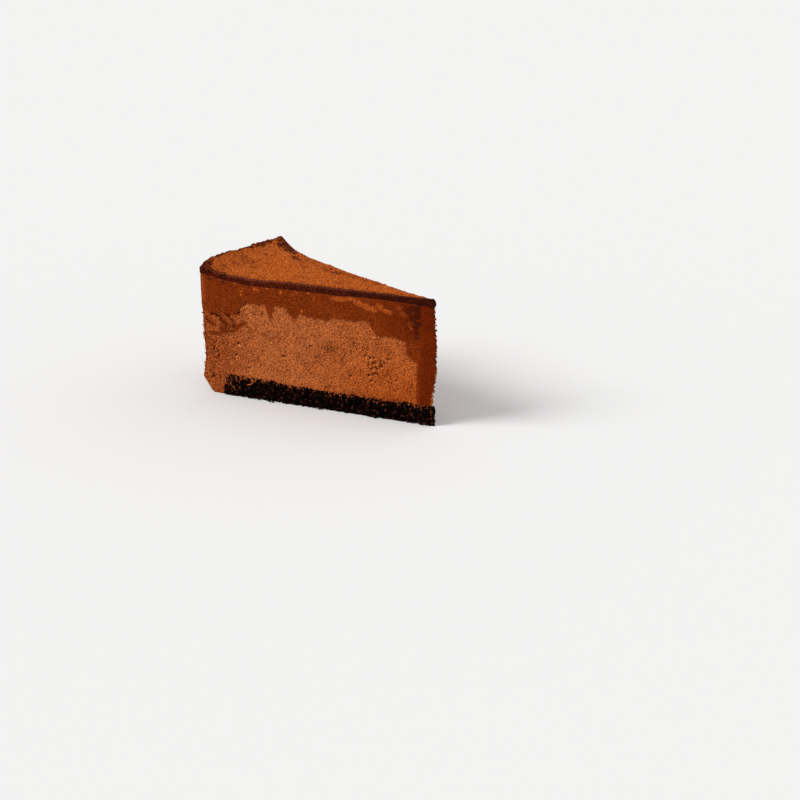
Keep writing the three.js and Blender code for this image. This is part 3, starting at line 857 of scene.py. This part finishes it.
tree.links.new(mixed(tree, smear, torn_colour, smear_colour), shader.inputs["Base Color"])
fine = plus(tree, times(tree, grain, 1.4), times(tree, cells(tree, place, 0.6)[0], 0.6))
bumped(tree, shader, times(tree, fine, shifted(tree, smear, 0.0, 1.0, 1.0, 0.2)), 0.4)
tree.links.new(shifted(tree, smear, 0.0, 1.0, 0.85, 0.55), shader.inputs["Roughness"])

# The columns of faces are closer together towards the cuts.
HALF_COLUMNS = [0, 0.09, 0.18, 0.27, 0.36, 0.45, 0.54, 0.62, 0.7, 0.77, 0.83, 0.88, 0.92, 0.95, 0.975, 1]
turns = np.concatenate([-np.array(HALF_COLUMNS[:0:-1]), HALF_COLUMNS])
mousse = block("mousse_body", steps(*MOUSSE_LENGTH), turns, steps(*MOUSSE_HEIGHT), place_mousse)
tree, inputs = new_tree("Torn mousse", MOUSSE_RELIEF)
place = here(tree)
cut, wall, rough, fold, ridge, pit, dense, bruise, pale, nose = (
    value_of(tree, label)
    for label in ("cut", "wall", "rough", "fold", "ridge", "pit", "dense", "bruise", "pale", "nose")
)
wobble = plus(tree, noise(tree, place, 2.2, 2.6, detail=3, roughness=0.6), noise(tree, place, 0.9, 2.0))
smear = shifted(tree, plus(tree, value_of(tree, "smeared"), wobble), -0.45, 0.55)
torn = times(tree, math_node(tree, "SUBTRACT", 1.0, smear), cut, plus(tree, 1.0, times(tree, fold, -0.8)))
broad = plus(tree, 0.5, noise(tree, place, 8))
lumps = plus(tree, 0.5, noise(tree, place, 1.7, detail=3, roughness=0.65))
pore = shifted(tree, cells(tree, place, 1.0, 0.2)[0], 0.1, 0.42, 1.0, 0.0)
gap = times(tree, rough, shifted(tree, noise(tree, place, 1.1), 0.03, 0.14))
torn_relief = plus(
    tree,
    times(tree, plus(tree, times(tree, broad, 0.85), times(tree, lumps, 0.8)), inputs["Tear"]),
    times(tree, pore, plus(tree, 1.0, rough), inputs["Pore"]),
    times(tree, gap, inputs["Gap"]),
    times(tree, ridge, -0.45 * MM),
)
bumps = plus(tree, noise(tree, place, 3, 1.2), noise(tree, place, 1.0, 2.4), 0.1)
wave = plus(tree, 0.6, noise(tree, place, 5), noise(tree, place, 1.2, 1.8))
relief = plus(
    tree,
    times(tree, torn_relief, torn),
    times(tree, pit, 0.9 * MM),
    times(tree, bumps, nose, -1.0 * MM),
    times(tree, wave, wall, inputs["Wall"]),
)
# Painted shade in the pores and gaps, with the darker tone of dense and bruised places; rough places are
# painted lighter as highlights round their darker gaps, and pale places are lighter.
shade_and_tone = plus(
    tree,
    times(tree, pore, 0.1),
    times(tree, gap, 0.5),
    times(tree, dense, 0.2),
    times(tree, bruise, 0.17),
    times(tree, rough, -0.1),
    times(tree, pale, -0.1),
)
# The tone paints light and shade onto the torn mousse: lighter on ridges and lips, darker in creases, in
# the dips between lumps and in open bubbles, on top of the painted shade and tone above.
tone = plus(
    tree,
    times(tree, ridge, 0.22),
    times(tree, shade_and_tone, -1.0),
    times(tree, lumps, -0.06),
    0.115,
    times(tree, pit, -0.7),
)
mottle = plus(tree, 0.45, noise(tree, place, 2.5, 1.2, detail=3))
finish = math_node(tree, "MAXIMUM", times(tree, smear, cut), times(tree, wall, mottle))
finish = times(tree, finish, math_node(tree, "SUBTRACT", 1.0, pit))
body = keep_value(tree, inputs["Geometry"], "smear", finish)
body = keep_value(tree, body, "tone", tone)
close_tree(tree, push_away(tree, body, times(tree, relief, -1.0)), mousse_stuff)
made(mousse, tree, MOUSSE_RELIEF)

# Loose flecks of mousse: teeth over the top of the crust, crumbs at the tip, strands near the outer end.
FLECKS_ALONG_A_CUT = 300
FLECKS_AT_THE_TIP = 34
FLECKS_AT_THE_END = 60
CLUSTERS_AT_THE_CORNER = 17
FLECKS_IN_A_CLUSTER = 5
FLECKS_ON_THE_NOSE = 105
NOSE_FLECKS_FROM, NOSE_FLECKS_OVER = 9.5, 42
# Higher than this the nose is smeared, so its flecks are dark.
PALE_FLECKS_BELOW = 30
# The path of each strand down the near cut, as distance and height.
STRANDS = [
    [(91.4, 9.9), (89.2, 8.5), (89.6, 6.9), (92.1, 6.1)], [(101.2, 6.1), (100.4, 5.0), (99.0, 4.3)],
    [(104.3, 7.3), (103.6, 6.6), (103.0, 5.2)], [(84.0, 9.6), (84.6, 8.2)],
]
STRAND_RADIUS = 0.24


def fleck_size(random, least, growth):
    return least + growth * random.uniform() ** 2


def flecks():
    """A spot for each fleck: x, y, z, its size and its tone."""
    random = np.random.default_rng(31)
    spots = []
    for turn in (-1, 1):
        for distance in random.uniform(3, 104, FLECKS_ALONG_A_CUT):
            x, y = plan(distance, turn)
            height = crust_top(x, y, distance) - 0.35 + random.normal(0, 0.6)
            size = fleck_size(random, 0.13, 0.34)
            spots.append((*on_cut(turn, distance, height, random.uniform(-0.2, 0.25)), size, 0.0))
        for distance, height in random.uniform((96, 2), (105, 9), (FLECKS_AT_THE_END, 2)):
            spot = on_cut(turn, distance, height, random.uniform(0, 0.3))
            spots.append((*spot, random.uniform(0.1, 0.25), 0.1))
        for middle in random.uniform(3, 43, CLUSTERS_AT_THE_CORNER):
            for height in random.normal(middle, 0.9, FLECKS_IN_A_CLUSTER):
                distance = along(WALL, height) - random.uniform(0.0, 1.2)
                size = fleck_size(random, 0.1, 0.34)
                spot = on_cut(turn, distance, height, random.uniform(-0.25, 0.1) - 0.3 * size)
                spots.append((*spot, size, 0.1))
    for height, turn in random.uniform((0.4, -1), (14, 1), (FLECKS_AT_THE_TIP, 2)):
        x, y = plan(1.7, 1.1 * turn)
        spots.append((x + 0.8 * along(NOSE_OFFSET, height), y, height, random.uniform(0.2, 0.5), -0.1))
    for draw, turn in random.uniform((0, -0.6), (1, 1.3), (FLECKS_ON_THE_NOSE, 2)):
        height = NOSE_FLECKS_FROM + NOSE_FLECKS_OVER * draw**1.7
        x, y = plan(MOUSSE_TIP, turn)
        out = random.uniform(0.1, 0.5)
        x = x + along(NOSE_OFFSET, height) * (1 - MOUSSE_TIP / NOSE_REACH) + out
        size = fleck_size(random, 0.18, 0.42)
        spots.append((x, y, height, size, 0.05 if height < PALE_FLECKS_BELOW else -0.36))
    for strand in STRANDS:
        path = np.array(strand)
        length = np.concatenate([[0], np.cumsum(np.hypot(*np.diff(path, axis=0).T))])
        for at in np.arange(0, length[-1], STRAND_RADIUS * 0.8):
            distance, height = (np.interp(at, length, path[:, side]) for side in (0, 1))
            sway = 0.25 * ripple(distance, height, 0.7, 51)
            size = STRAND_RADIUS * random.uniform(0.8, 1.25)
            spots.append((*on_cut(-1, distance + sway, height, 0.45), size, 0.3))
    return spots


mousse_flecks = strewn("mousse_flecks", flecks(), ["tone"], mousse_stuff, 0.2)
dress("mousse", mousse, mousse_flecks)
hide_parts("mousse", "smeared_mousse")


# The ganache
# A sheet of dark chocolate and cream, poured on the set mousse 3 mm thick. The knife left it clean on the
# cuts with a rounded upper edge. The rim is broken and craggy, with traces of cocoa.
GANACHE_TIP = 0.85
GANACHE_END = RING_RADIUS - 0.05
# At the tip the knife left the ganache as a small round lump.
TIP_LUMP = {"reach": 2.4, "nose": 0.9, "widening": 1.8, "droop": 0.6, "lift": 0.5}
# The radius of the rounded upper edge along each side.
GANACHE_EDGE = {"near": 0.6, "far": 0.45, "rim": 0.4}
# The crags begin at this distance, and are full so much further on.
CRAGS_FROM, CRAGS_OVER = 108, 6
CRAG_WAVES = [(0.5, 2.6, 13), (0.3, 1.1, 14)]
GANACHE_LENGTH, GANACHE_HEIGHT = (113, 0.6), (3.5, 0.5)
GANACHE_RELIEF = {"Crag": 0.9 * MM, "Knife": 0.25 * MM}
# How strongly a painted sheen of light shows along the near edge, in parts with windows like those of the
# mousse, and where the sheen lies on it.
EDGE_SHEEN = [(0.75, [("distance", 12, 12)]), (0.3, [("distance", 62, 24)]), (-0.45, [("distance", 104, 4)])]
SHEEN_INSET = 0.6
SHEEN_WIDTH = 0.4
# Fades: where each begins and how many mm it takes, backwards if negative. The rim is broken along the near
# cut and inwards from it, the cocoa is thinner beside that cut, and the ganache is darker near the tip.
BROKEN_ALONG, BROKEN_INWARDS = (100, 9), (4, -3)
RUBBED_INWARDS, RUBBED_BY = (2.2, -1.4), 2.8
DARKER_TIP = (54, -22)
GANACHE_COLOURS = {
    "cut": (0.023, 0.003, 0.001),
    "cut_light": (0.088, 0.0125, 0.0042),
    "tip": (0.016, 0.0024, 0.0011),
    "tip_light": (0.054, 0.0078, 0.0031),
    "top": (0.029, 0.0035, 0.001),
    "top_light": (0.112, 0.0165, 0.005),
    # A painted sheen of light on the rounded upper edge.
    "edge": (0.162, 0.043, 0.024),
}
# Bare margins round the cocoa, from the cuts and the rim. The near one is wider towards the tip.
COCOA_MARGIN = {"near": 1.2, "near_tip": 0.2, "far": 0.25, "rim": 0.8}
NEAR_TIP = (80, -30)
RIM_MARGIN_WAVES = [(1.1, 3.5, 21)]
COVER_WAVES = [(0.35, 1.6, 23), (0.25, 0.9, 24)]
# Spots that the cocoa has left: angle, distance, reach.
BARE_SPOTS = [
    (13.5, 115, 3.6), (13.5, 110.5, 2.4), (13.5, 106.5, 1.4), (11.6, 115, 3.6), (9.6, 115.4, 2.6),
    (7, 116, 2.4), (4.6, 116, 2.4), (2.2, 116, 2.3), (-0.4, 116, 2.3), (-13.5, 108.8, 5.0),
    (-12.4, 104.4, 3.0), (-11.5, 100.4, 1.4), (-12.7, 114.6, 2.8), (-10.4, 115.6, 2), (-8.6, 115, 2.6),
    (-6.6, 115, 3.2), (-4.4, 115, 2.0), (0, 1, 4.8), (-9.8, 95.2, 1.0), (-9.5, 93.6, 1.2),
    (-9.3, 91.8, 0.9), (-5.5, 80.5, 0.8), (-7.7, 69.1, 0.9), (-7.9, 66.6, 0.7), (-8.1, 64.4, 0.9),
    (-8.5, 61.4, 1.0), (-9.1, 60.2, 0.6), (-10.9, 57.5, 0.8),
]
COCOA_COLOURS = {
    "thin": (0.11, 0.021, 0.0055),
    "dark": (0.2, 0.034, 0.0052),
    "middle": (0.43, 0.085, 0.012),
    "light": (0.485, 0.105, 0.0165),
    "grain": (0.6, 0.165, 0.038),
}


def from_edges(x, y, reach):
    """Distance in mm from the nearest cut, and from the rim."""
    turn = np.abs(np.arctan2(y, CENTRE - x))
    return reach * np.sin(np.maximum(HALF_ANGLE - turn, 0)), RING_RADIUS - reach


def from_spot(x, y, angle, distance):
    """Distance in mm from a spot, given by its angle in degrees and its distance from the centre."""
    at = math.radians(angle)
    return np.hypot(x - CENTRE + distance * math.cos(at), y + distance * math.sin(at))


def cocoa_cover(x, y, reach):
    """How far inside the dusted area a point lies, in mm."""
    cut, rim = from_edges(x, y, reach)
    near = COCOA_MARGIN["near"] + COCOA_MARGIN["near_tip"] * fade(reach, *NEAR_TIP)
    cut = cut - np.where(y < 0, near, COCOA_MARGIN["far"])
    cover = np.minimum(cut, rim - COCOA_MARGIN["rim"] - waves(x, y, RIM_MARGIN_WAVES))
    for angle, distance, bare in BARE_SPOTS:
        ragged = waves(x, y, [(0.25 * min(bare, 4), 2.5, 22), (0.9, 1.1, 28)])
        cover = np.minimum(cover, from_spot(x, y, angle, distance) - bare + ragged)
    return waves(x, y, COVER_WAVES, cover)


def crag_height(x, y, reach):
    return fade(reach, CRAGS_FROM, CRAGS_OVER) * waves(x, y, CRAG_WAVES)


def place_ganache(u, v, w):
    reach = GANACHE_TIP + (GANACHE_END - GANACHE_TIP) * u
    x, y = plan(reach, v)
    near, upper = y < 0, w == 1
    top = top_height(x, y)
    cut, rim = from_edges(x, y, reach)
    radius = np.where(near, GANACHE_EDGE["near"], GANACHE_EDGE["far"])
    high = top - rounded(np.minimum(cut, reach - GANACHE_TIP), radius) - rounded(rim, GANACHE_EDGE["rim"])
    high = high + crag_height(x, y, reach)
    lump = np.exp(-(((reach - GANACHE_TIP) / TIP_LUMP["reach"]) ** 2))
    x = x - TIP_LUMP["nose"] * lump * (2 * w - 1) ** 2
    y = y * (1 + TIP_LUMP["widening"] * lump)
    low = top - ganache_depth(reach) - TIP_LUMP["droop"] * lump
    high = high + TIP_LUMP["lift"] * lump
    broken = fade(reach, *BROKEN_ALONG) * near * fade(cut, *BROKEN_INWARDS)
    cover = cocoa_cover(x, y, reach) - RUBBED_BY * near * fade(cut, *RUBBED_INWARDS)
    sheen = np.exp(-(((cut - SHEEN_INSET) / SHEEN_WIDTH) ** 2)) * shown(EDGE_SHEEN, distance=reach)
    values = {
        "crag": np.maximum(fade(reach, CRAGS_FROM, CRAGS_OVER), broken),
        "upper": upper,
        "cover": np.clip(cover, -6, 6),
        "edge": sheen * upper * near,
        "deep": fade(reach, *DARKER_TIP),
    }
    return x, y, low + (high - low) * w, values


ganache_stuff, tree, shader, place = new_material("ganache", 0.45, 0.01)
dye = GANACHE_COLOURS
upper, deep = attribute(tree, "upper"), attribute(tree, "deep")
soft = plus(tree, 0.5, noise(tree, place, 2.5, 0.7, detail=3), noise(tree, place, 0.75, 3.2, roughness=0.7))
tip_colour = ramp(tree, soft, dye, tip=0.2, tip_light=0.8)
cut_colour = mixed(tree, deep, ramp(tree, soft, dye, cut=0.2, cut_light=0.8), tip_colour)
# The painted sheen along the near upper edge is broken up by noise.
mottle = shifted(tree, noise(tree, place, 1.3, detail=3, roughness=0.7), -0.14, 0.06, 0.15, 0.9)
top_colour = layered(
    tree,
    ramp(tree, soft, dye, top=0.2, top_light=0.8),
    (deep, tip_colour),
    (times(tree, attribute(tree, "edge"), mottle), dye["edge"]),
)
patchy = shifted(tree, noise(tree, place, 1.6, detail=4, roughness=0.75), 0.0, 0.12)
powder = times(tree, shifted(tree, attribute(tree, "cover"), -5.0, 1.0), upper, patchy, 0.8)
colour = layered(tree, cut_colour, (upper, top_colour), (powder, COCOA_COLOURS["middle"]))
tree.links.new(colour, shader.inputs["Base Color"])
bumped(tree, shader, noise(tree, place, 0.6, detail=4, roughness=0.65), 0.15)

# Here too the columns of faces are closer together towards the cuts.
across = np.concatenate([[0.004, 0.009, 0.016, 0.025, 0.037, 0.053], np.linspace(0.075, 1, 40)])
across = np.concatenate([[-1], across - 1, 1 - across[-2::-1], [1]])
ganache = block("ganache_sheet", steps(*GANACHE_LENGTH), across, steps(*GANACHE_HEIGHT), place_ganache)
tree, inputs = new_tree("Craggy rim", GANACHE_RELIEF)
crag = noise(tree, here(tree), 1.7, detail=4, roughness=0.65)
crag = times(tree, crag, value_of(tree, "crag"), inputs["Crag"])
drag = times(tree, plus(tree, noise(tree, here(tree), 1.2, detail=3), -0.2), inputs["Knife"])
close_tree(tree, push(tree, inputs["Geometry"], plus(tree, crag, drag)), ganache_stuff)
made(ganache, tree, GANACHE_RELIEF)

# The rim was knocked at the near corner: broken bits of ganache stand on it and hang down the cut.
BITS_AT_THE_CORNER = 110
# They lie on the near cut from this distance inwards, and from just over the top down.
BITS_FROM, BITS_OVER = 114.6, 13
BITS_LIFT, BITS_DROP = 0.2, 4.2
random = np.random.default_rng(61)
bits = []
for draw, fall, out, big in random.uniform(0, 1, (BITS_AT_THE_CORNER, 4)):
    distance = BITS_FROM - BITS_OVER * draw**1.3
    height = top_height(*plan(distance, -1)) + BITS_LIFT - BITS_DROP * fall
    bits.append((*on_cut(-1, distance, height, 0.35 * out - 0.3), 0.14 + 0.34 * big**2))
ganache_bits = strewn("ganache_bits", bits, [], ganache_stuff, 0.25)

dress("ganache", ganache, ganache_bits)
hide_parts("ganache")


# The cocoa
# Cocoa powder, sifted over the ganache half a millimetre deep. It stops a little short of the cuts and the
# rim, has fallen off the corners, is thin in places near the rim, and small clumps lie on it.
COCOA_START = 3
COCOA_END = RING_RADIUS - 1
COCOA_INSET = 0.25
COCOA_DEPTH = 0.55
# Where there is no powder the sheet's top is sunk in the ganache, and its foot is always below it.
COCOA_SUNK = 0.35
COCOA_FOOT = 0.8
COCOA_GRAINS = [(0.13, 0.8, 25), (0.17, 1.6, 26), (0.08, 4, 27)]
COCOA_LENGTH = (111, 0.45)
COCOA_COLUMNS = 111
CLUMPS = {"density": 1.3e6, "least": 0.06, "most": 0.33, "seed": 9}
# Clumps lie where the powder is at least so full and its top looks up.
CLUMPS_WHERE_FULL = 0.3
CLUMPS_WHERE_UP = 0.5
# Fades of the powder's depth inwards from its edge, and of where it is thin: at the rim and at its edge.
FULL_INWARDS = (-0.5, 2.4)
THIN_RIM, THIN_RIM_BY = (109, 4), 0.75
THIN_INWARDS = (2.5, -2.5)
# Angle, distance and reach of the places where the powder is thin.
THIN_SPOTS = [
    (2, 108.4, 3.2), (3.4, 103.6, 3), (2.2, 100.8, 3.4), (10.3, 106.2, 3), (9.2, 111.6, 2.6),
    (6.9, 104.6, 1.8), (-3.4, 109.2, 1.8), (-4.2, 104.5, 1.4), (-5.5, 102.2, 1.4), (-8.5, 86.6, 2.2),
    (-10.4, 87.8, 2), (-10.6, 83, 2.4), (-9.6, 78, 2.2), (-8.2, 73, 2), (-9.8, 69, 2.6), (-8.4, 62, 2.8),
    (-9.4, 52, 3), (-9.4, 44, 3), (-9, 36, 3), (4, 50, 3), (6, 70, 1.6), (5, 97, 2), (0, 96, 1.6),
]


def place_cocoa(u, v, w):
    reach = COCOA_START + (COCOA_END - COCOA_START) * u
    x, y = plan(reach, v * (1 - COCOA_INSET / (reach * HALF_ANGLE)))
    cover = cocoa_cover(x, y, reach)
    full = fade(cover, *FULL_INWARDS)
    lift = waves(x, y, COCOA_GRAINS, COCOA_DEPTH + COCOA_SUNK) * full - COCOA_SUNK
    thin = np.maximum(THIN_RIM_BY * fade(reach, *THIN_RIM), fade(cover, *THIN_INWARDS))
    for angle, distance, wide in THIN_SPOTS:
        thin = np.maximum(thin, np.exp(-((from_spot(x, y, angle, distance) / wide) ** 2)))
    foot = top_height(x, y) + crag_height(x, y, reach) - COCOA_FOOT
    return x, y, foot + (COCOA_FOOT + lift) * w, {"full": full, "thin": thin}


def dusted(tree):
    """Whether a face looks up and has powder on it."""
    normal = tree.nodes.new("GeometryNodeInputNormal").outputs[0]
    up = wire(tree, "ShaderNodeSeparateXYZ", {0: normal}).outputs[2]
    covered = math_node(tree, "GREATER_THAN", value_of(tree, "full"), CLUMPS_WHERE_FULL)
    return times(tree, math_node(tree, "GREATER_THAN", up, CLUMPS_WHERE_UP), covered)


cocoa_stuff, tree, shader, place = new_material("cocoa powder", 1.0, 0.0)
dye = COCOA_COLOURS
thin = attribute(tree, "thin")
grain = noise(tree, place, 0.46, 4.0, detail=1, roughness=0.6)
grain = plus(tree, grain, noise(tree, place, 1.3, 1.4, roughness=0.6))
drift = noise(tree, place, 5, 0.4, detail=3)
tint = times(tree, attribute(tree, "tint"), 0.5)
shade = plus(tree, 0.53, grain, drift, tint, times(tree, thin, -0.2))
specks = shifted(tree, noise(tree, place, 0.8, detail=3, roughness=0.7), 0.01, 0.09)
colour = layered(
    tree,
    ramp(tree, shade, dye, dark=0.1, middle=0.42, light=0.75, grain=1.0),
    (times(tree, scattered(tree, place, 1.2, reach=0.26, share=0.3), 0.75), dye["grain"]),
    (times(tree, scattered(tree, place, 1.3, reach=0.3, share=0.25, offset=17), 0.75), dye["thin"]),
    (times(tree, specks, thin), dye["thin"]),
)
tree.links.new(colour, shader.inputs["Base Color"])
bumped(tree, shader, noise(tree, place, 0.55, detail=4, roughness=0.7), 0.3)

columns = np.linspace(-1, 1, COCOA_COLUMNS)
cocoa = block("cocoa_layer", steps(*COCOA_LENGTH), columns, [0, 1], place_cocoa)
cocoa.data.materials.append(cocoa_stuff)
cocoa_clumps = sprinkled(cocoa, "cocoa_clumps", dusted, cocoa_stuff, **CLUMPS)

dress("cocoa", cocoa, cocoa_clumps)
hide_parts("cocoa_dusting")


# The floor, the light and the camera
# A plain pale floor under a white sky, with a broad soft light from the front left and a weaker one from
# behind. The camera stands where the photograph was taken from, 69 cm away and looking down by 19 degrees.
# Half the floor's breadth, in metres.
FLOOR_HALF = 6.0
FLOOR_COLOUR = (0.8, 0.795, 0.79, 1)
SKY = 0.6
# Each light: where it comes from, its strength and its breadth in degrees.
LIGHTS = {"front left light": ((-0.55, -0.75, 0.75), 2.3, 30), "back light": ((0.5, 0.8, 0.7), 0.35, 60)}
AZIMUTH, ELEVATION, ROLL = (math.radians(angle) for angle in (38.591, 18.972, -0.21))
AIM = Vector((CENTRE - 33.915, 17.55, 0)) * MM
CAMERA_DISTANCE = 691.1 * MM
LENS = 69.75
SENSOR_WIDTH = 36
CLIP_START = 0.01

mesh = bpy.data.meshes.new("floor")
corners = [(-1, -1), (1, -1), (1, 1), (-1, 1)]
mesh.from_pydata([(x * FLOOR_HALF, y * FLOOR_HALF, 0) for x, y in corners], [], [(0, 1, 2, 3)])
floor = new_piece("floor", mesh)
floor_stuff, tree, shader, place = new_material("pale floor", 1.0, 0.0)
shader.inputs["Base Color"].default_value = FLOOR_COLOUR
mesh.materials.append(floor_stuff)

world = bpy.data.worlds.new("white sky")
world.use_nodes = True
world.node_tree.nodes["Background"].inputs["Color"].default_value = (1, 1, 1, 1)
world.node_tree.nodes["Background"].inputs["Strength"].default_value = SKY
bpy.context.scene.world = world

for name, (source, power, breadth) in LIGHTS.items():
    light = bpy.data.lights.new(name, "SUN")
    light.energy = power
    light.angle = math.radians(breadth)
    lamp = new_piece(name, light)
    lamp.rotation_euler = Vector(source).to_track_quat("Z", "Y").to_euler()

away = Vector((
    math.sin(AZIMUTH) * math.cos(ELEVATION),
    -math.cos(AZIMUTH) * math.cos(ELEVATION),
    math.sin(ELEVATION),
))
lens = bpy.data.cameras.new("camera")
lens.lens = LENS
lens.sensor_width = SENSOR_WIDTH
lens.clip_start = CLIP_START
camera = new_piece("camera", lens)
camera.location = AIM + away * CAMERA_DISTANCE
turned = away.to_track_quat("Z", "Y").to_matrix() @ Matrix.Rotation(ROLL, 3, "Z")
camera.rotation_euler = turned.to_euler()
bpy.context.scene.camera = camera
bpy.context.scene.view_settings.view_transform = "Standard"
